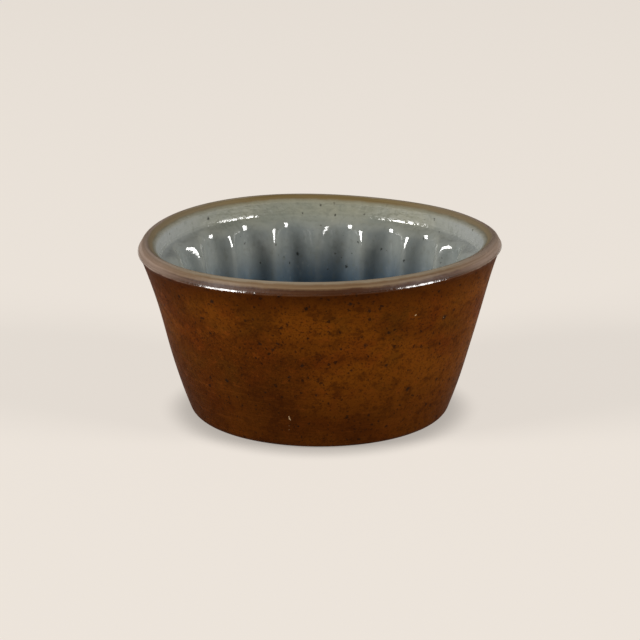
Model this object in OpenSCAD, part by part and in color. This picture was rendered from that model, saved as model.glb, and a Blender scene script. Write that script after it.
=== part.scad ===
// Stoneware jelly mould: a flared bowl, plain outside and fluted inside.
// The base stands on z = 0 and the axis of the bowl is the z axis.
// The outside is one revolved solid. Below the rim a smooth collar drops to a
// shelf, and round flutes run from the shelf down the wall to the floor.
// Between two flutes the wall is left standing as a rib with a round top.

/* [Body] */
// Height from the base to the crest of the rim
mould_h = 89.5; // [76:0.5:110]
// Diameter over the outer corner of the rim, the widest place
rim_d = 180; // [172:0.5:200]
// Diameter of the base, where the line of the wall meets the ground
base_d = 127; // [116:0.5:136]
// Swell of the wall outward, greatest at a third of its height
belly = 1.5; // [0:0.1:2.5]
// Hollow of the wall below the rim, greatest at two thirds of its height
waist = 0.8; // [0:0.1:1.5]
// Radius of the corner between the base and the wall
base_round = 6; // [1:0.5:9]
// Thickness of the floor inside
floor_t = 9; // [6:0.5:14]

/* [Rim] */
// Height of the rounded band between the outer corner and the crest
band_h = 4.9; // [2:0.1:7]
// Distance from the outer corner in to the crest
band_w = 4; // [2:0.1:5]
// How far the rim stands out over the wall below it
lip_out = 1.3; // [0.5:0.1:3]
// Height of the slope that carries the rim out over the wall
lip_h = 1.8; // [1:0.1:4]
// Distance from the crest in to the brow, the slope above the collar
crest_w = 3; // [1.5:0.1:4]
// Drop from the crest to the brow
crest_drop = 1.8; // [0.5:0.1:4]
// Width of the brow, which slopes down from the rim to the collar
brow_w = 2.3; // [1:0.1:3]
// Drop of the brow over its width
brow_drop = 1.2; // [0.5:0.1:2]

/* [Collar] */
// Height of the smooth collar, from the brow down to the shelf
collar_h = 8; // [5:0.1:12]
// How far the collar closes in on its way down to the shelf
collar_in = 2.1; // [1:0.1:3]

/* [Flutes] */
// Number of flutes round the inside
flute_n = 18; // [12:1:20]
// Turn of the first flute from the x axis, in degrees
flute_turn = 0.9; // [0:0.1:20]
// Radius of a flute at the shelf
flute_r = 9.6; // [7:0.1:10.5]
// How much smaller the radius of a flute is at its foot
flute_draft = 0.6; // [0:0.1:1.5]
// Depth of a flute behind the face of the ribs, where their tops begin
flute_depth = 5.6; // [4.5:0.1:7]
// Depth of a flute behind the face of the ribs, at its foot
foot_depth = 2.7; // [1.5:0.1:3.5]
// Thickness of the wall outside the foot of a flute
foot_wall = 4.3; // [3:0.1:5]
// Height of the round foot of a flute above the floor
flute_rise = 5; // [2:0.5:10]
// Width of shelf between the mouth of a flute and the collar
shelf_land = 0.5; // [0.2:0.1:2]
// Radius of the rounded edge at the mouth of a flute
mouth_round = 3; // [1:0.1:4]
// Height over which the top of a rib rounds over to the shelf
rib_round = 16.5; // [4:0.5:24]
// Radius of the hollow corner between the ribs and the floor
floor_round = 14; // [6:0.5:24]

/* [Hidden] */
$fn = 96;

rim_r = rim_d / 2;
base_r = base_d / 2;
corner_z = mould_h - band_h;
wall_top = [rim_r - lip_out, corner_z - lip_h];
crest_r = rim_r - band_w;
brow_top = [crest_r - crest_w, mould_h - crest_drop];
collar_top = brow_top - [brow_w, brow_drop];
shelf_z = collar_top.y - collar_h;
shelf_r = collar_top.x - collar_in;

// Radius of the outside of the wall at a height. Each bend of the wall is a
// product that comes to 4/27 at its highest, so bend scales it to full size.
bend = 27 / 4;
function wall_r(z) =
    let (t = z / wall_top.y)
    base_r + (wall_top.x - base_r) * t
        + bend * (belly * t * pow(1 - t, 2) - waist * pow(t, 2) * (1 - t));
foot_lean = atan2(wall_top.x - base_r + bend * belly, wall_top.y);
foot_set = base_round * tan((90 - foot_lean) / 2);

// The mouths of the flutes stand clear of the collar, and their feet clear of
// the outside. Each flute runs straight from its mouth to its foot.
mouth_z = shelf_z - mouth_round;
mouth_in = shelf_r - shelf_land - mouth_round - flute_r;
flute_foot_r = flute_r - flute_draft;
foot_z = floor_t + flute_rise + flute_foot_r;
foot_in = wall_r(foot_z) - foot_wall - flute_foot_r;
flute_lean = atan2(mouth_in - foot_in, mouth_z - foot_z);
flute_len = (mouth_z - foot_z) / cos(flute_lean);

// The face of the ribs leans in from their round tops to the floor's corner.
rib_top_z = shelf_z - rib_round;
flute_at_top = mouth_in + flute_r - (mouth_z - rib_top_z) * tan(flute_lean);
rib_top = [flute_at_top - flute_depth, rib_top_z];
rib_lean = atan2(rib_top.x - foot_in - flute_foot_r + foot_depth, rib_top.y - foot_z);
rib_reach = shelf_r - shelf_land - rib_top.x;
rib_foot_z = floor_t + floor_round * (1 - sin(rib_lean));
rib_foot_r = rib_top.x - (rib_top.y - rib_foot_z) * tan(rib_lean);
floor_c = [rib_foot_r - floor_round * cos(rib_lean), floor_t + floor_round];

// Room by which a cutter runs out past what it cuts, and the small step by
// which the mouth of a flute starts inside the groove.
past = 1;
mouth_step = 0.2;

// Number of straight steps in each bend of an outline.
wall_steps = 8;
round_steps = 6;
curve_steps = 5;
rib_steps = 7;
foot_steps = 5;
mouth_steps = 4;

// How far the bend of a curve on the rim lies in from the corner that it
// rounds, as a share of its width and height.
tuck = 0.18;

// Points of an arc round c, from angle a to angle b, both ends included.
function arc(c, r, a, b, n) =
    [for (i = [0:n]) c + r * [cos(a + (b - a) * i / n), sin(a + (b - a) * i / n)]];

// Points between p and q on a curve that leaves p toward m and reaches q from m.
function curve(p, m, q, n) =
    [for (i = [1:n - 1]) p * pow(1 - i / n, 2) + 2 * m * (1 - i / n) * i / n + q * pow(i / n, 2)];

// Outline of the outside, from the axis along the base, up the wall and over
// the crest to the brow.
module outside_profile() {
    corner = [rim_r, corner_z];
    crest = [crest_r, mould_h];
    polygon(concat(
        [[0, 0]],
        arc([base_r - foot_set, base_round], base_round, -90, -foot_lean, round_steps),
        [for (i = [1:wall_steps]) [wall_r(wall_top.y * i / wall_steps), wall_top.y * i / wall_steps]],
        [corner],
        curve(corner, [rim_r - band_w * tuck, mould_h - band_h * tuck], crest, curve_steps),
        [crest],
        curve(crest, [brow_top.x + crest_w * tuck, mould_h - crest_drop * tuck], brow_top, curve_steps),
        [brow_top, [0, brow_top.y]]
    ));
}

// The smooth room above the shelf, opened out by the brow at its top.
module collar_room() {
    rotate_extrude()
        polygon([
            [0, shelf_z],
            [shelf_r, shelf_z],
            collar_top,
            brow_top,
            [brow_top.x, mould_h + past],
            [0, mould_h + past]
        ]);
}

// The round room inside the ribs, with their round tops and the hollow corner.
module rib_room() {
    rotate_extrude()
        polygon(concat(
            [[0, floor_t]],
            arc(floor_c, floor_round, -90, -rib_lean, round_steps),
            [
                for (i = [0:rib_steps])
                    let (a = 90 * i / rib_steps)
                    rib_top + [rib_reach * (1 - cos(a)), rib_round * sin(a)]
            ],
            [[rib_top.x + rib_reach, shelf_z + past], [0, shelf_z + past]]
        ));
}

// The rounded mouth of a flute, an upright cutter that starts just inside it.
module flute_mouth() {
    mouth_c = [flute_r + mouth_round - mouth_step, mouth_z];
    translate([mouth_in, 0, 0])
        rotate_extrude()
            polygon(concat(
                [[0, mouth_z]],
                arc(mouth_c, mouth_round, 180, 90, mouth_steps),
                [[mouth_c.x, shelf_z + past / 2], [0, shelf_z + past / 2]]
            ));
}

// The groove of a flute, which leans in as it goes down and has a round foot.
module flute_groove() {
    translate([mouth_in, 0, mouth_z])
        rotate([0, flute_lean, 0])
            rotate_extrude()
                polygon(concat(
                    arc([0, -flute_len], flute_foot_r, -90, 0, foot_steps),
                    [[flute_r, 0], [flute_r, mouth_round], [0, mouth_round]]
                ));
}

// The fluted room, the part of the inside that shapes the jelly.
module fluted_room() {
    rib_room();
    for (i = [0:flute_n - 1])
        rotate([0, 0, flute_turn + i * 360 / flute_n]) {
            flute_mouth();
            flute_groove();
        }
}

// The mould, one piece of glazed stoneware.
module mould() {
    color([0.45, 0.22, 0.08])
        difference() {
            rotate_extrude()
                outside_profile();
            collar_room();
            fluted_room();
        }
}

mould();
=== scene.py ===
"""Looks of the stoneware jelly mould: salt-glazed outside, grey-blue glaze inside.

The visible mould is one closed mesh, a grid of rings that runs from the middle of
the base up the wall, over the rim and down the fluted inside to the middle of the
floor. Lengths are millimetres until a mesh is made. In the shaders a place on the
object is in metres, and the girth, measured along the outline, in millimetres.
"""

import math

import bpy
import numpy as np
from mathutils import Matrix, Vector


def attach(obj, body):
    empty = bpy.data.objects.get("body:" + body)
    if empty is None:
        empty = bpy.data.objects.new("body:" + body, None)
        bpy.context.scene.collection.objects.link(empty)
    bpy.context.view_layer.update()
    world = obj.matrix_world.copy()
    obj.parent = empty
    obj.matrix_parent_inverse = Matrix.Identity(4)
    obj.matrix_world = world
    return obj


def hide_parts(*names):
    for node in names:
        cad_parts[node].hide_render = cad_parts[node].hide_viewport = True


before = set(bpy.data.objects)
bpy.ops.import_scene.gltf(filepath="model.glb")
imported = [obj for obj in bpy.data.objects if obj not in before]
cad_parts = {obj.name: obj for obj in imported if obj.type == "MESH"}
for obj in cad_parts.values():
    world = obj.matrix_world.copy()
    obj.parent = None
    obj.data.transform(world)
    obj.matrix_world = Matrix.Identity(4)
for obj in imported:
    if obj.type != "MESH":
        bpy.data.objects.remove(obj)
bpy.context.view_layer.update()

# The outside: radii and heights of its outline. The base is drawn from its first
# ring, and the wall stops short of its top. Each bend of the wall is a product that
# comes to 4/27 at its highest, so BEND brings it to full size.
BASE_R = 63.5
BASE_ROUND = 6.0
BASE_RINGS = (20.0, 40.0, 52.0)
WALL_TOP = (88.7, 82.8)
WALL_STOP = 0.7
BELLY = 1.5
WAIST = 0.8
BEND = 27 / 4
RIM_R = 90.0
CORNER_Z = 84.6
CREST = (86.0, 89.5)
INNER_EDGE = (83.0, 87.7)

# The edge of the rim, each point out and up from the wall's top or from the corner.
UNDER_LIP = ((0.10, 0.05), (0.50, 0.55))
LIP = (
    (-0.34, -0.62),
    (-0.16, -0.36),
    (-0.04, -0.16),
    (0.0, 0.04),
    (-0.02, 0.22),
    (-0.1, 0.42),
    (-0.22, 0.62),
    (-1.38, 2.5),
)
BAND_BOW = 0.42
CREST_BOW = 0.35

# Points on each stretch of the outline.
BASE_POINTS = 9
WALL_POINTS = 32
BAND_POINTS = 8
CREST_POINTS = 5

# The inside: collar, shelf, flutes, ribs and floor.
FLUTES = 18
TURN = 0.9
PITCH = 360.0 / FLUTES
SHELF = (78.6, 78.5)
FLARE = 0.25
BROW_SLOPE = 0.5
MOUTH = (65.6, 75.5)
FOOT = (58.23, 23.0)
FLUTE_R = 9.7
FOOT_R = 9.0
FLUTE_TOP = 83.0
RIB_TOP = (67.3, 62.0)
RIB_REACH = (7.0, 17.5)
RIB_LEAN = 0.1
FLOOR_Z = 9.0

# Radii of the rounded edges between the parts of the inside.
BROW_ROUND = 0.3
SHELF_ROUND = 2.0
FLOOR_ROUND = 14.0
FLUTE_TOP_ROUND = 0.5
FLUTE_EDGE_ROUND = 3.0
MOUTH_ROUND = 4.4

# The inside is found along rays from a point on the axis, in bands that each start
# at a radius and a height and hold a number of rings.
EYE_Z = 96.0
BANDS = (
    (INNER_EDGE[0], INNER_EDGE[1] - 0.5, 12),
    (79.0, 80.5, 20),
    (77.0, 76.0, 38),
    (70.5, 66.0, 24),
    (66.0, 42.0, 18),
    (64.0, 24.0, 26),
)
STEEPEST = 89.0
NEAREST = 5.0
FARTHEST = 115.0
HALVINGS = 32

# Columns from the middle of a rib to the middle of a flute, crowded toward the flute.
HALF_COLUMNS = 12
CROWDING = 0.8

# Reach over which the turning of the inside is measured.
PROBE = 1.2

# How the hand-finished wall departs from the round one. A wave of the rim is a height,
# a number round the mould and a phase, and a dip is a depth, a middle and a width,
# with its angles in radians.
LIFT_FROM = 15.0
LIFT_OVER = 70.0
RIM_WAVES = ((1.0, 1, 0.0), (0.5, 3, 0.0), (0.9, 2, math.pi / 2))
RIM_DIP = (0.8, 0.3, 0.33)
LIP_DIP = (0.5, 4.15, 0.5)
FRONT_SAG = 0.6
BAND_H = 4.9
SWING = 0.16
SWING_SEED = 5
SWING_WAVES = 14
SWING_OVER = 20.0
SWAY = 0.5
SWAY_FROM = 28.0
SWAY_OVER = 57.0
STILL_R = 30.0


def smin(a, b, k):
    """Union of two rooms, with the edge between them rounded to radius k."""
    return np.maximum(k, np.minimum(a, b)) - np.hypot(np.maximum(k - a, 0), np.maximum(k - b, 0))


def smax(a, b, k):
    """Overlap of two rooms, with the corner between them rounded to radius k."""
    return -smin(-a, -b, k)


def rib_face(z):
    """Radius and slope of the ribs' face: straight below, a long round top above."""
    sine = np.clip((z - RIB_TOP[1]) / RIB_REACH[1], 0, 0.98)
    cosine = np.sqrt(1 - sine**2)
    steep = RIB_LEAN + RIB_REACH[0] * sine / (RIB_REACH[1] * cosine)
    radius = RIB_TOP[0] + RIB_LEAN * (z - RIB_TOP[1]) + RIB_REACH[0] * (1 - cosine)
    return radius, steep


def cavity(x, y, z):
    """Signed distance to the wall of the inside, negative in the open room."""
    r = np.hypot(x, y)
    phi = np.degrees(np.arctan2(y, x))
    above = z - SHELF[1]
    collar = (r - SHELF[0] - above * FLARE) / math.hypot(1, FLARE)
    brow = (BROW_SLOPE * (r - INNER_EDGE[0]) - z + INNER_EDGE[1]) / math.hypot(1, BROW_SLOPE)
    collar = smax(smin(collar, brow, BROW_ROUND), -above, SHELF_ROUND)
    rib, steep = rib_face(z)
    core = smax((r - rib) / np.hypot(1, steep), FLOOR_Z - z, FLOOR_ROUND)
    share = np.clip((MOUTH[1] - z) / (MOUTH[1] - FOOT[1]), 0, 1)
    axis = MOUTH[0] + (FOOT[0] - MOUTH[0]) * share
    radius = FLUTE_R + (FOOT_R - FLUTE_R) * share
    drop = np.maximum(FOOT[1] - z, 0)
    off = np.radians((phi - TURN + PITCH / 2) % PITCH - PITCH / 2)
    flute = np.sqrt((r * np.cos(off) - axis) ** 2 + (r * np.sin(off)) ** 2 + drop**2) - radius
    flute = smax(flute, z - FLUTE_TOP, FLUTE_TOP_ROUND)
    return smin(smin(core, flute, FLUTE_EDGE_ROUND), collar, MOUTH_ROUND)


def wall_radius(z):
    """Radius of the outside of the wall at a height, with its belly and its waist."""
    t = z / WALL_TOP[1]
    bend = BEND * (BELLY * t * (1 - t) ** 2 - WAIST * t**2 * (1 - t))
    return BASE_R + (WALL_TOP[0] - BASE_R) * t + bend


def bow(p, q, out, n):
    """Points from p to q, p left out, that bow out by a distance."""
    p = np.array(p, float)
    q = np.array(q, float)
    side = np.array([q[1] - p[1], p[0] - q[0]])
    side = side / np.linalg.norm(side)
    return [tuple(p + (q - p) * t + side * out * 4 * t * (1 - t)) for t in np.linspace(0, 1, n + 1)[1:]]


def outline():
    """The outline of the outside, from the first ring of the base to the inner edge of the rim."""
    lean = math.atan2(WALL_TOP[0] - BASE_R + BEND * BELLY, WALL_TOP[1])
    middle = BASE_R - BASE_ROUND * math.tan((math.pi / 2 - lean) / 2)
    points = [(r, 0.0) for r in BASE_RINGS]
    for a in np.linspace(-math.pi / 2, -lean, BASE_POINTS):
        points.append((middle + BASE_ROUND * math.cos(a), BASE_ROUND + BASE_ROUND * math.sin(a)))
    for z in np.linspace(BASE_ROUND, WALL_TOP[1] - WALL_STOP, WALL_POINTS):
        points.append((wall_radius(z), z))
    points += [(WALL_TOP[0] + r, WALL_TOP[1] + z) for r, z in UNDER_LIP]
    points += [(RIM_R + r, CORNER_Z + z) for r, z in LIP]
    points += bow(points[-1], CREST, BAND_BOW, BAND_POINTS)
    points += bow(CREST, INNER_EDGE, CREST_BOW, CREST_POINTS)
    return np.array(points)


def columns():
    """Angles of the mesh's columns round the mould."""
    half = [PITCH / 2 * (i / HALF_COLUMNS) ** CROWDING for i in range(HALF_COLUMNS)]
    angles = []
    for i in range(FLUTES):
        rib = TURN + PITCH * (i + 0.5)
        angles += [rib - h for h in half[:0:-1]] + [rib + h for h in half] + [rib + PITCH / 2]
    return np.radians(np.array(angles))


def inside_rings(phi):
    """Radii and heights of the rings of the inside, found by halving along each ray."""
    starts = [math.atan2(EYE_Z - z, r) for r, z, count in BANDS]
    falls = []
    for start, end, band in zip(starts[:-1], starts[1:], BANDS[:-1]):
        falls += list(np.linspace(start, end, band[2], endpoint=False))
    falls += list(np.linspace(starts[-1], math.radians(STEEPEST), BANDS[-1][2]))
    fall, turn = np.meshgrid(np.array(falls), phi, indexing="ij")
    dx = np.cos(fall) * np.cos(turn)
    dy = np.cos(fall) * np.sin(turn)
    dz = -np.sin(fall)
    near = np.full(fall.shape, NEAREST)
    far = np.full(fall.shape, FARTHEST)
    for _ in range(HALVINGS):
        mid = (near + far) / 2
        inside = cavity(dx * mid, dy * mid, EYE_Z + dz * mid) < 0
        near = np.where(inside, mid, near)
        far = np.where(inside, far, mid)
    reach = (near + far) / 2
    return np.cos(fall) * reach, EYE_Z + dz * reach


def girths(rad, hgt, corner):
    """How far each ring lies along the outline from the corner of the rim: negative
    down the outside, positive over the crest and down the inside."""
    steps = np.hypot(np.diff(rad, axis=0), np.diff(hgt, axis=0))
    girth = np.vstack([np.zeros(rad.shape[1]), np.cumsum(steps, axis=0)])
    return girth - girth[corner]


def turning(rad, hgt, turn):
    """How sharply the inside turns at each point: positive in hollows, negative on ribs."""
    x = rad * np.cos(turn)
    y = rad * np.sin(turn)
    total = -6 * cavity(x, y, hgt)
    for axis in np.eye(3) * PROBE:
        for step in (axis, -axis):
            total = total + cavity(x + step[0], y + step[1], hgt + step[2])
    return total / PROBE**2


def ripple(phi, z, seed, waves):
    """A smooth, seamless unevenness round the mould, about -1 to 1."""
    rng = np.random.default_rng(seed)
    total = np.zeros_like(phi)
    weight = 0.0
    for _ in range(waves):
        turns = rng.integers(1, 9)
        rise = rng.uniform(-0.12, 0.12)
        size = 1.0 / (1.0 + 0.25 * turns)
        total = total + size * np.sin(turns * phi + rise * z + rng.uniform(0, 6.28))
        weight += size
    return total / weight * 1.8


def dip(turn, depth, middle, width):
    """A dip on one side of the mould, with its middle and its width in radians."""
    off = (turn - middle + np.pi) % (2 * np.pi) - np.pi
    return depth * np.exp(-((off / width) ** 2))


def hand_finish(rad, hgt, turn, outer):
    """Radii and heights after finishing by hand: the rim rises and dips, its band
    hangs lower at the front, and the sides are never quite round."""
    lift = np.clip((hgt - LIFT_FROM) / LIFT_OVER, 0, 1)
    lift = lift * lift * (3 - 2 * lift)
    warp = sum(size * np.cos(count * turn + phase) for size, count, phase in RIM_WAVES)
    warp = warp - dip(turn, *RIM_DIP)
    front = 0.5 - 0.5 * np.sin(turn)
    sag = (FRONT_SAG * front**2 + dip(turn, *LIP_DIP)) * np.clip((CREST[1] - hgt) / BAND_H, 0, 1)
    sag = np.where(outer, sag, 0)
    swing = SWING * ripple(turn, hgt, SWING_SEED, SWING_WAVES) * np.clip(hgt / SWING_OVER, 0, 1)
    sway = SWAY * np.sin(np.pi * np.clip((hgt - SWAY_FROM) / SWAY_OVER, 0, 1)) ** 2 * np.cos(turn)
    return np.where(rad > STILL_R, rad + swing + sway, rad), hgt + lift * (warp - sag)


def ring_faces(count, n):
    """Faces between the rings of n points, and round the middle point at each end."""
    faces = []
    for i in range(count - 1):
        for j in range(n):
            k = (j + 1) % n
            faces.append((i * n + j, i * n + k, (i + 1) * n + k, (i + 1) * n + j))
    first = count * n
    last = (count - 1) * n
    for j in range(n):
        k = (j + 1) % n
        faces.append((first, k, j))
        faces.append((first + 1, last + j, last + k))
    return faces


def build_mould():
    """The mould as one closed mesh, with its girth and its turning kept for the glaze."""
    phi = columns()
    outer = outline()
    inner_rad, inner_hgt = inside_rings(phi)
    around = np.ones(len(phi))
    rad = np.vstack([np.outer(outer[:, 0], around), inner_rad])
    hgt = np.vstack([np.outer(outer[:, 1], around), inner_hgt])
    turn = np.broadcast_to(phi, rad.shape)
    first = len(outer)

    girth = girths(rad, hgt, int(np.argmax(outer[:, 0])))
    bend = np.zeros_like(rad)
    bend[first:] = turning(rad[first:], hgt[first:], turn[first:])

    rad, hgt = hand_finish(rad, hgt, turn, np.arange(len(rad))[:, None] < first)
    verts = np.stack([rad * np.cos(turn), rad * np.sin(turn), hgt], axis=-1).reshape(-1, 3)
    verts = np.vstack([verts, [[0, 0, 0], [0, 0, hgt[-1].mean()]]]) / 1000.0
    mesh = bpy.data.meshes.new("mould_glazed")
    mesh.from_pydata([tuple(v) for v in verts], [], ring_faces(*rad.shape))
    mesh.update()
    mesh.shade_smooth()
    for name, values in (("girth", girth), ("bend", bend)):
        layer = mesh.attributes.new(name, "FLOAT", "POINT")
        flat = np.append(values.reshape(-1), [values[0].mean(), values[-1].mean()])
        layer.data.foreach_set("value", flat.astype(np.float32))
    obj = bpy.data.objects.new("mould_glazed", mesh)
    bpy.context.scene.collection.objects.link(obj)
    return obj


def tint(r, g, b):
    """A colour written as 0 to 255 display values, as the shader wants it."""
    out = []
    for c in (r, g, b):
        c = c / 255
        out.append(c / 12.92 if c <= 0.04045 else ((c + 0.055) / 1.055) ** 2.4)
    return (*out, 1.0)


class Graph:
    """Short names for the shader nodes of one material."""

    def __init__(self, name):
        self.material = bpy.data.materials.new(name)
        self.material.use_nodes = True
        self.tree = self.material.node_tree
        self.shader = self.tree.nodes["Principled BSDF"]
        self.place = self.add("ShaderNodeTexCoord").outputs["Object"]

    def add(self, kind, inputs=None, **settings):
        node = self.tree.nodes.new(kind)
        for key, value in settings.items():
            setattr(node, key, value)
        for key, value in (inputs or {}).items():
            self.feed(node.inputs[key], value)
        return node

    def feed(self, socket, value):
        if isinstance(value, bpy.types.NodeSocket):
            self.tree.links.new(value, socket)
        else:
            socket.default_value = value

    def attribute(self, name):
        return self.add("ShaderNodeAttribute", attribute_name=name).outputs["Fac"]

    def math(self, operation, a, b=0.0, c=0.0):
        return self.add("ShaderNodeMath", {0: a, 1: b, 2: c}, operation=operation).outputs[0]

    def vector(self, operation, a, b, c=(0.0, 0.0, 0.0)):
        return self.add("ShaderNodeVectorMath", {0: a, 1: b, 2: c}, operation=operation).outputs[0]

    def ramp(self, value, low, high, to_low=0.0, to_high=1.0, smooth=True):
        node = self.add(
            "ShaderNodeMapRange",
            {"Value": value, "From Min": low, "From Max": high, "To Min": to_low, "To Max": to_high},
        )
        node.interpolation_type = "SMOOTHSTEP" if smooth else "LINEAR"
        return node.outputs["Result"]

    def mix_value(self, share, a, b):
        return self.add("ShaderNodeMix", {0: share, 2: a, 3: b}, data_type="FLOAT").outputs[0]

    def mix(self, share, a, b):
        node = self.add("ShaderNodeMix", data_type="RGBA")
        self.feed(node.inputs["Factor"], share)
        self.feed([s for s in node.inputs if s.name == "A" and s.type == "RGBA"][0], a)
        self.feed([s for s in node.inputs if s.name == "B" and s.type == "RGBA"][0], b)
        return [s for s in node.outputs if s.type == "RGBA"][0]

    def layer(self, under, colour, where, share):
        """A colour laid over another where a mask says, at a share of its full strength."""
        return self.mix(self.math("MULTIPLY", where, share), under, colour)

    def shade(self, cloud, pair, spread=0.15):
        """A pair of colours in clouds, whose edges are as soft as the spread."""
        return self.mix(self.ramp(cloud, 0.5 - spread, 0.5 + spread), *pair)

    def noise(self, steps, detail=3.0, rough=0.6, twist=0.0):
        """Noise at the place on the object, with its steps to the metre along x, y and z."""
        place = self.add("ShaderNodeMapping", {"Vector": self.place, "Scale": steps}).outputs[0]
        return self.noise_at(place, detail, rough, twist)

    def noise_at(self, place, detail, rough, twist=0.0):
        return self.add(
            "ShaderNodeTexNoise",
            {"Vector": place, "Scale": 1.0, "Detail": detail, "Roughness": rough, "Distortion": twist},
        ).outputs["Fac"]

    def specks(self, place, scale, least, most, share):
        """Small specks: a share of the cells holds one, each of its own size."""
        cell = self.add("ShaderNodeTexVoronoi", {"Vector": place, "Scale": scale})
        parts = self.add("ShaderNodeSeparateColor", {0: cell.outputs["Color"]})
        held = self.math("LESS_THAN", parts.outputs[0], share)
        size = self.math("MULTIPLY_ADD", parts.outputs[1], most - least, least)
        size = self.math("MULTIPLY", size, held)
        edge = self.math("SUBTRACT", size, cell.outputs["Distance"])
        return self.ramp(edge, -0.03, 0.05)

    def marks(self, place, spots):
        """Marks at stated places, each x, y, z and radius in millimetres, soft at the edge."""
        total = 0.0
        for x, y, z, radius in spots:
            centre = (x / 1000, y / 1000, z / 1000)
            gap = self.add("ShaderNodeVectorMath", {0: place, 1: centre}, operation="DISTANCE")
            mark = self.ramp(gap.outputs["Value"], radius / 1000, radius / 3000)
            total = self.math("MAXIMUM", total, mark)
        return total


# Pits and burnt specks of the outside that the photo shows, its pale nicks and its
# broad scorched places: x, y, z and radius in millimetres.
PITS = (
    (-55.8, -61.3, 64.8, 0.9), (-21.9, -76.8, 53.8, 1.2), (-8.3, -77.5, 46.4, 1.3),
    (-14.3, -75.0, 40.0, 1.2), (-47.8, -68.3, 66.5, 0.7), (-31.1, -78.3, 69.5, 0.8),
    (-4.7, -86.8, 77.8, 0.8), (-25.7, -69.3, 30.6, 0.9), (-1.7, -73.8, 30.6, 1.0),
    (-44.3, -60.0, 33.3, 1.4), (4.2, -82.7, 64.5, 0.8), (-28.0, -75.6, 56.5, 1.2),
    (-19.7, -78.4, 57.4, 1.1), (-50.2, -70.1, 75.8, 1.8), (59.2, -57.8, 64.4, 2.1),
    (9.8, -79.7, 55.3, 0.9), (21.5, -77.7, 56.6, 1.4), (31.1, -71.0, 44.6, 1.2),
    (14.5, -75.8, 43.4, 1.0), (42.0, -60.3, 29.2, 1.7), (49.0, -58.4, 25.0, 1.3),
    (48.4, -60.4, 18.6, 1.4), (54.7, -60.4, 18.6, 1.4), (25.3, -64.1, 5.9, 1.2),
    (14.0, -86.3, 79.1, 1.2), (23.1, -82.8, 74.8, 1.0), (32.4, -75.4, 62.0, 1.3),
)
NICKS = (
    (45.0, -71.2, 69.3, 0.6), (-14.5, -68.7, 18.0, 0.5), (-14.4, -68.4, 17.2, 0.5),
    (-14.5, -68.1, 16.4, 0.55), (-14.5, -66.9, 12.8, 0.3), (-14.5, -66.1, 10.6, 0.3),
    (11.2, -65.1, 2.8, 0.8), (58.5, -58.3, 64.6, 0.45),
)
SCORCHES = ((-30.7, -79.0, 71.5, 17.0), (-25.6, -65.5, 24.5, 20.0), (18.0, -66.0, 8.0, 16.0))

# Burnt specks in the glaze of the inside, written the same way.
BURNS = (
    (-57.7, 55.9, 83.7, 1.3), (35.2, 74.4, 86.4, 1.1), (8.0, 79.1, 79.7, 0.9),
    (77.3, 24.0, 85.8, 0.9), (59.2, 54.5, 83.5, 0.7), (-11.7, 71.8, 60.5, 1.1),
    (-16.0, 70.1, 55.9, 0.8), (-39.2, 62.7, 68.5, 0.9), (53.8, 51.6, 74.1, 1.1),
    (14.0, 70.4, 54.2, 1.1), (43.5, 51.9, 61.9, 1.1), (32.0, 65.6, 64.5, 0.8),
    (-30.8, 63.4, 58.0, 0.7), (-8.9, 79.2, 80.8, 0.8), (19.9, 66.8, 68.0, 0.8),
    (61.8, 32.6, 66.4, 0.7),
)

# Browns of the outside.
UMBER = tint(66, 31, 5)
AMBER = tint(92, 49, 8)
RUST = tint(78, 31, 6)
MOSS = tint(60, 38, 8)
SCORCHED = tint(40, 19, 4)
MOTTLE_DARK = tint(46, 19, 4)
MOTTLE_PALE = tint(104, 50, 12)
GRAIN_DARK = tint(40, 19, 5)
GRAIN_PALE = tint(104, 60, 14)
TURNED_LINE = tint(112, 60, 18)
FOOT_BROWN = tint(46, 19, 3)
TOP_BROWN = tint(50, 21, 3)
FINE_SPECK = tint(30, 15, 7)
SMALL_SPECK = tint(28, 15, 8)
LARGE_SPECK = tint(22, 14, 9)
PIT_DARK = tint(24, 17, 13)
NICK_PALE = tint(186, 160, 124)

# Bands of the rim, each a pair of colours in streaks.
BURNT = (tint(66, 40, 22), tint(52, 28, 13))
FAWN = (tint(106, 86, 63), tint(90, 69, 48))
TAN = (tint(125, 114, 97), tint(111, 98, 81))
# The mauve pair below lightens the rim's left and right ends as seen from the camera: painted light.
MAUVE_PAINTED_LIGHT = (tint(128, 111, 100), tint(108, 91, 78))
OLIVE = (tint(110, 94, 62), tint(92, 76, 46))
# The olive below lightens and greys the inner rim toward the left and right sides: painted light.
OLIVE_PAINTED_LIGHT = tint(118, 105, 86)

# Greys and blues of the inside.
GREY = (tint(130, 129, 113), tint(117, 119, 107))
SLATE = (tint(124, 127, 122), tint(108, 113, 111))
# The deep colour pair below is bluer, as the glaze is lower down, and darker, which is painted shade of
# the deep inside.
DEEP_BLUE_AND_SHADE = (tint(76, 94, 108), tint(54, 74, 92))
# The grey below lightens the collar toward the left and right sides as seen from the camera: painted
# light.
GREY_PAINTED_LIGHT = tint(136, 138, 135)
FLOOR_GREY = tint(106, 118, 124)
RIB_GREY = tint(126, 122, 106)
DUSTY_DARK = tint(92, 94, 84)
DUSTY_PALE = tint(150, 150, 138)
BROWN_SPECK = tint(58, 54, 46)
BLACK_SPECK = tint(34, 32, 28)
STAIN = tint(116, 110, 90)

# Where along the girth one glaze starts to give way to the next, and has done so.
BROWN_ENDS = (-0.4, 0.5)
BURNT_ENDS = (2.0, 3.2)
FAWN_ENDS = (4.2, 5.6)
TAN_ENDS = (7.2, 8.0)
OLIVE_ENDS = (9.6, 11.4)
STAIN_ENDS = (14.0, 10.5)

# Reach by which specks and marks are pulled out of round, in metres.
PULL = 0.0022


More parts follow.
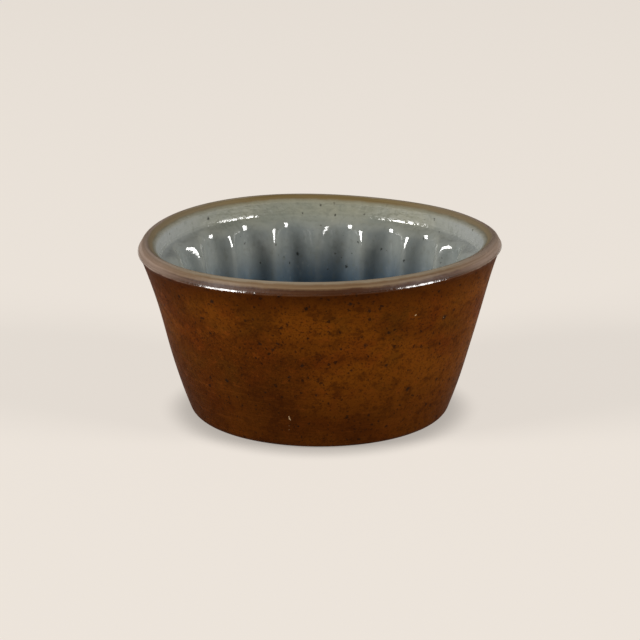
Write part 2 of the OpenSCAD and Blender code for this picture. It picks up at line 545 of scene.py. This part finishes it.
class Glaze(Graph):
    """The salt glaze of the mould: brown outside, banded rim and grey-blue inside."""

    def __init__(self):
        super().__init__("salt_glaze")
        spot = self.add("ShaderNodeSeparateXYZ", {0: self.place})
        self.across = spot.outputs["X"]
        self.back = spot.outputs["Y"]
        self.up = spot.outputs["Z"]
        self.side = self.math("ABSOLUTE", self.across)
        self.girth = self.attribute("girth")
        self.patch = self.noise((42, 42, 60), twist=0.3)
        self.mottle = self.noise((180, 180, 230), detail=4.0, rough=0.65)
        self.lines = self.noise((14, 14, 1300), detail=2.0)
        # The edge between two glazes wanders, so the girth is read with some noise on it.
        wander = self.noise((90, 90, 90), detail=4.0, rough=0.65)
        wander = self.math("MULTIPLY_ADD", wander, 2.0, -1.0)
        self.wandered = self.math("ADD", self.girth, wander)
        self.wet = self.ramp(self.wandered, *OLIVE_ENDS)
        # Places pulled about a little, so that specks and marks are not round.
        pull = self.add("ShaderNodeTexNoise", {"Vector": self.place, "Scale": 700.0, "Detail": 2.0})
        pull = self.vector("SUBTRACT", pull.outputs["Color"], (0.5, 0.5, 0.5))
        self.ragged = self.vector("MULTIPLY_ADD", pull, (PULL, PULL, PULL), self.place)

    def outside(self):
        """Brown salt glaze, in clouds and fine mottling, darker just below the rim and toward the foot;
        the clouds lean lighter toward the right side, which is painted light.
        """
        cloud = self.noise((15, 15, 26), rough=0.55, twist=0.5)
        # Painted light: adding the x coordinate leans the clouds toward the lighter amber on the right
        # side.
        cloud = self.math("MULTIPLY_ADD", self.across, 1.3, cloud)
        grain = self.noise((760, 760, 900), rough=0.7)
        turned = self.math("MULTIPLY", self.ramp(self.up, 0.045, 0.02), self.ramp(self.lines, 0.5, 0.66))
        turned = self.math("MULTIPLY", turned, self.ramp(self.mottle, 0.6, 0.4))
        many = self.math("MULTIPLY", self.ramp(self.patch, 0.35, 0.65), 0.6)
        brown = self.mix(self.ramp(cloud, 0.36, 0.66), UMBER, AMBER)
        for colour, where, share in (
            (RUST, self.ramp(self.patch, 0.5, 0.7), 0.4),
            (MOSS, self.ramp(self.patch, 0.5, 0.3), 0.35),
            (SCORCHED, self.marks(self.place, SCORCHES), 0.4),
            (MOTTLE_DARK, self.ramp(self.mottle, 0.5, 0.66), 0.55),
            (MOTTLE_PALE, self.ramp(self.mottle, 0.44, 0.3), 0.35),
            (GRAIN_DARK, self.ramp(grain, 0.5, 0.66), 0.6),
            (GRAIN_PALE, self.ramp(grain, 0.44, 0.3), 0.25),
            (TURNED_LINE, turned, 0.35),
            (FOOT_BROWN, self.ramp(self.up, 0.052, 0.008), 0.6),
            (TOP_BROWN, self.ramp(self.wandered, -17.0, -2.0), 0.7),
            (FINE_SPECK, self.specks(self.ragged, 620, 0.1, 0.36, many), 0.65),
            (SMALL_SPECK, self.specks(self.ragged, 320, 0.06, 0.3, 0.42), 0.75),
            (LARGE_SPECK, self.specks(self.ragged, 150, 0.04, 0.14, many), 0.85),
            (PIT_DARK, self.marks(self.ragged, PITS), 0.8),
            (NICK_PALE, self.marks(self.ragged, NICKS), 0.85),
        ):
            brown = self.layer(brown, colour, where, share)
        return brown

    def rim(self):
        """Burnt brown on the outer strip, tan toward the crest, olive inside the crest; lighter, mauve
        and greyer toward the left and right ends, which is painted light.
        """
        # Streaks that run round the rim, as the wet clay was wiped on the wheel.
        streak = self.add(
            "ShaderNodeCombineXYZ",
            {
                0: self.math("MULTIPLY", self.across, 14.0),
                1: self.math("MULTIPLY", self.back, 14.0),
                2: self.math("MULTIPLY", self.girth, 0.8),
            },
        )
        wiped = self.noise_at(streak.outputs[0], detail=3.0, rough=0.65)
        band = self.shade(wiped, BURNT)
        band = self.mix(self.ramp(self.wandered, *BURNT_ENDS), band, self.shade(wiped, FAWN))
        band = self.mix(self.ramp(self.wandered, *FAWN_ENDS), band, self.shade(wiped, TAN))
        # Painted light: the rim's left and right ends turn lighter and mauve.
        band = self.layer(band, self.shade(wiped, MAUVE_PAINTED_LIGHT), self.ramp(self.side, 0.055, 0.084), 0.85)
        olive = self.shade(wiped, OLIVE, 0.2)
        # Painted light: the olive turns lighter and greyer toward the left and right sides.
        olive = self.mix(self.ramp(self.side, 0.025, 0.07, 0.0, 0.55), olive, OLIVE_PAINTED_LIGHT)
        return self.mix(self.ramp(self.wandered, *TAN_ENDS), band, olive)

    def inside(self):
        """A thick grey glaze, a little paler on the ribs and bluer deeper down; darker deeper down too,
        which is painted shade.
        """
        haze = self.noise((45, 45, 30))
        dust = self.noise((380, 380, 300))
        bend = self.attribute("bend")
        # Painted light: the collar turns lighter and bluer toward the left and right sides.
        grey = self.mix(self.ramp(self.side, 0.045, 0.08), self.shade(haze, GREY, 0.2), GREY_PAINTED_LIGHT)
        grey = self.mix(self.ramp(self.up, 0.083, 0.072), grey, self.shade(haze, SLATE, 0.2))
        # Lower down the glaze turns bluer and darker: the blue is the glaze's, the darkening is painted
        # shade.
        grey = self.mix(self.ramp(self.up, 0.068, 0.043), grey, self.shade(haze, DEEP_BLUE_AND_SHADE, 0.2))
        grey = self.mix(self.ramp(self.up, 0.032, 0.012), grey, FLOOR_GREY)
        grey = self.mix(self.ramp(bend, -0.02, -0.3, 0.0, 0.1), grey, RIB_GREY)
        for colour, where, share in (
            (DUSTY_DARK, self.ramp(dust, 0.5, 0.7), 0.3),
            (DUSTY_PALE, self.ramp(dust, 0.42, 0.28), 0.12),
            (BROWN_SPECK, self.specks(self.ragged, 260, 0.05, 0.18, 0.25), 0.6),
            (BLACK_SPECK, self.specks(self.ragged, 120, 0.04, 0.09, 0.16), 0.85),
            (BLACK_SPECK, self.marks(self.ragged, BURNS), 0.85),
        ):
            grey = self.layer(grey, colour, where, share)
        return self.mix(self.ramp(self.wandered, *STAIN_ENDS, 0.0, 0.8), grey, STAIN)

    def gloss(self):
        """Roughness and shine: a dull outside, a glossy arris on the rim, a wet inside."""
        broken = self.ramp(self.noise((330, 330, 330), detail=2.0, rough=0.5), 0.38, 0.6, 0.45, 1.0)
        arris = self.math("MULTIPLY", self.ramp(self.girth, 0.0, 0.3), self.ramp(self.girth, 1.15, 0.65))
        rough_out = self.mix_value(arris, self.math("MULTIPLY_ADD", self.mottle, 0.3, 0.3), 0.14)
        rough_in = self.ramp(self.girth, 17.4, 19.2, 0.48, 0.1)
        rough = self.ramp(self.wet, 0.0, 1.0, rough_out, rough_in, smooth=False)
        shine_in = self.math("MULTIPLY", self.wet, self.ramp(self.girth, 17.6, 19.4, 0.2, 0.7))
        shine = self.math("MAXIMUM", self.math("MULTIPLY", arris, broken), shine_in)
        shine = self.math("MAXIMUM", shine, self.ramp(self.girth, -0.5, 0.5, 0.005, 0.15))
        return rough, shine

    def relief(self):
        """Orange peel and turning lines outside, soft swells and dimples inside."""
        peel = self.noise((420, 420, 420), rough=0.55)
        skin = self.math("MULTIPLY_ADD", self.lines, 0.3, peel)
        soft = self.noise((110, 110, 110), rough=0.55)
        dimple = self.noise((260, 260, 420), detail=2.0, rough=0.5)
        dimple = self.math("MULTIPLY", dimple, self.ramp(self.up, 0.0765, 0.079, 0.4, 3.6))
        swell = self.math("MULTIPLY_ADD", soft, 1.6, dimple)
        height = self.ramp(self.wet, 0.0, 1.0, skin, swell, smooth=False)
        bump = self.add("ShaderNodeBump", {"Height": height, "Strength": 0.5, "Distance": 0.00035})
        return bump.outputs["Normal"]

    def finish(self):
        rough, shine = self.gloss()
        colour = self.mix(self.ramp(self.wandered, *BROWN_ENDS), self.outside(), self.rim())
        colour = self.mix(self.wet, colour, self.inside())
        self.feed(self.shader.inputs["Base Color"], colour)
        self.feed(self.shader.inputs["Roughness"], rough)
        self.feed(self.shader.inputs["Specular IOR Level"], shine)
        self.feed(self.shader.inputs["Normal"], self.relief())
        self.feed(self.shader.inputs["IOR"], 1.5)
        return self.material


mould = build_mould()
mould.data.materials.append(Glaze().finish())
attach(mould, "root")
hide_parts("mould")

# Floor, light and camera, in metres.
FLOOR_HALF = 6
FLOOR_COLOUR = tint(236, 228, 219)
FLOOR_PLAIN = 0.8
SHADOW_REACH = 0.017
LAMP_TURN = 66
LAMP_RISE = 22
LAMP_FAR = 5.0
LAMP_WIDE = 1.8
LAMP_TALL = 2.2
LAMP_COLOUR = (1.0, 0.985, 0.96)
RIGHT_POWER = 275
LEFT_POWER = 335
SKY_COLOUR = (0.9, 0.96, 1.0, 1)
SKY_STRENGTH = 0.08
AIM = Vector((0, 0, 0.05))
CAMERA_AT = (0.00015, -1.1595, 0.39188)
CAMERA_FALL = 16.63
CAMERA_LENS = 136.15


def pale_floor(colour, shown):
    """A pale floor. What is seen of it, directly or mirrored, is partly its plain colour,
    so that the ground stays even; near the object that plain colour is darkened by
    ambient occlusion, a painted contact shadow, while the lit share keeps the real soft shadow."""
    g = Graph("pale_floor")
    g.feed(g.shader.inputs["Base Color"], colour)
    g.feed(g.shader.inputs["Roughness"], 0.95)
    g.feed(g.shader.inputs["Specular IOR Level"], 0.1)
    ray = g.add("ShaderNodeLightPath")
    seen = g.math("MAXIMUM", ray.outputs["Is Camera Ray"], ray.outputs["Is Glossy Ray"])
    seen = g.math("MAXIMUM", seen, ray.outputs["Is Transmission Ray"])
    # Painted shadow: the plain colour's strength drops near the object by ambient occlusion, a painted
    # contact shadow.
    near = g.add("ShaderNodeAmbientOcclusion", {"Distance": SHADOW_REACH}).outputs["AO"]
    even = g.add("ShaderNodeEmission", {"Color": colour, "Strength": g.ramp(near, 0.3, 1.0, 0.55, 1.0)})
    blend = g.add("ShaderNodeMixShader", {0: g.math("MULTIPLY", seen, shown)})
    g.feed(blend.inputs[1], g.shader.outputs[0])
    g.feed(blend.inputs[2], even.outputs[0])
    g.feed(g.tree.nodes["Material Output"].inputs["Surface"], blend.outputs[0])
    return g.material


def lamp(name, turn, power):
    """A soft box lamp. Its turn is from the camera's side toward +X."""
    data = bpy.data.lights.new(name, "AREA")
    data.shape = "RECTANGLE"
    data.size = LAMP_WIDE
    data.size_y = LAMP_TALL
    data.energy = power
    data.color = LAMP_COLOUR
    obj = bpy.data.objects.new(name, data)
    bpy.context.scene.collection.objects.link(obj)
    a = math.radians(turn)
    e = math.radians(LAMP_RISE)
    toward = Vector((math.cos(e) * math.sin(a), -math.cos(e) * math.cos(a), math.sin(e)))
    obj.location = AIM + LAMP_FAR * toward
    obj.rotation_euler = (AIM - obj.location).to_track_quat("-Z", "Y").to_euler()


floor_mesh = bpy.data.meshes.new("floor")
floor_corners = [(FLOOR_HALF * x, FLOOR_HALF * y, 0) for x, y in ((-1, -1), (1, -1), (1, 1), (-1, 1))]
floor_mesh.from_pydata(floor_corners, [], [(0, 1, 2, 3)])
floor = bpy.data.objects.new("floor", floor_mesh)
bpy.context.scene.collection.objects.link(floor)
floor.data.materials.append(pale_floor(FLOOR_COLOUR, FLOOR_PLAIN))

world = bpy.data.worlds.new("studio")
bpy.context.scene.world = world
world.use_nodes = True
world.node_tree.nodes["Background"].inputs[0].default_value = SKY_COLOUR
world.node_tree.nodes["Background"].inputs[1].default_value = SKY_STRENGTH

lamp("lamp_right", LAMP_TURN, RIGHT_POWER)
lamp("lamp_left", -LAMP_TURN, LEFT_POWER)

camera = bpy.data.cameras.new("camera")
camera.lens = CAMERA_LENS
camera.sensor_width = 36
camera_obj = bpy.data.objects.new("camera", camera)
bpy.context.scene.collection.objects.link(camera_obj)
camera_obj.location = CAMERA_AT
camera_obj.rotation_euler = (math.radians(90 - CAMERA_FALL), 0, 0)
bpy.context.scene.camera = camera_obj
bpy.context.scene.view_settings.view_transform = "Standard"
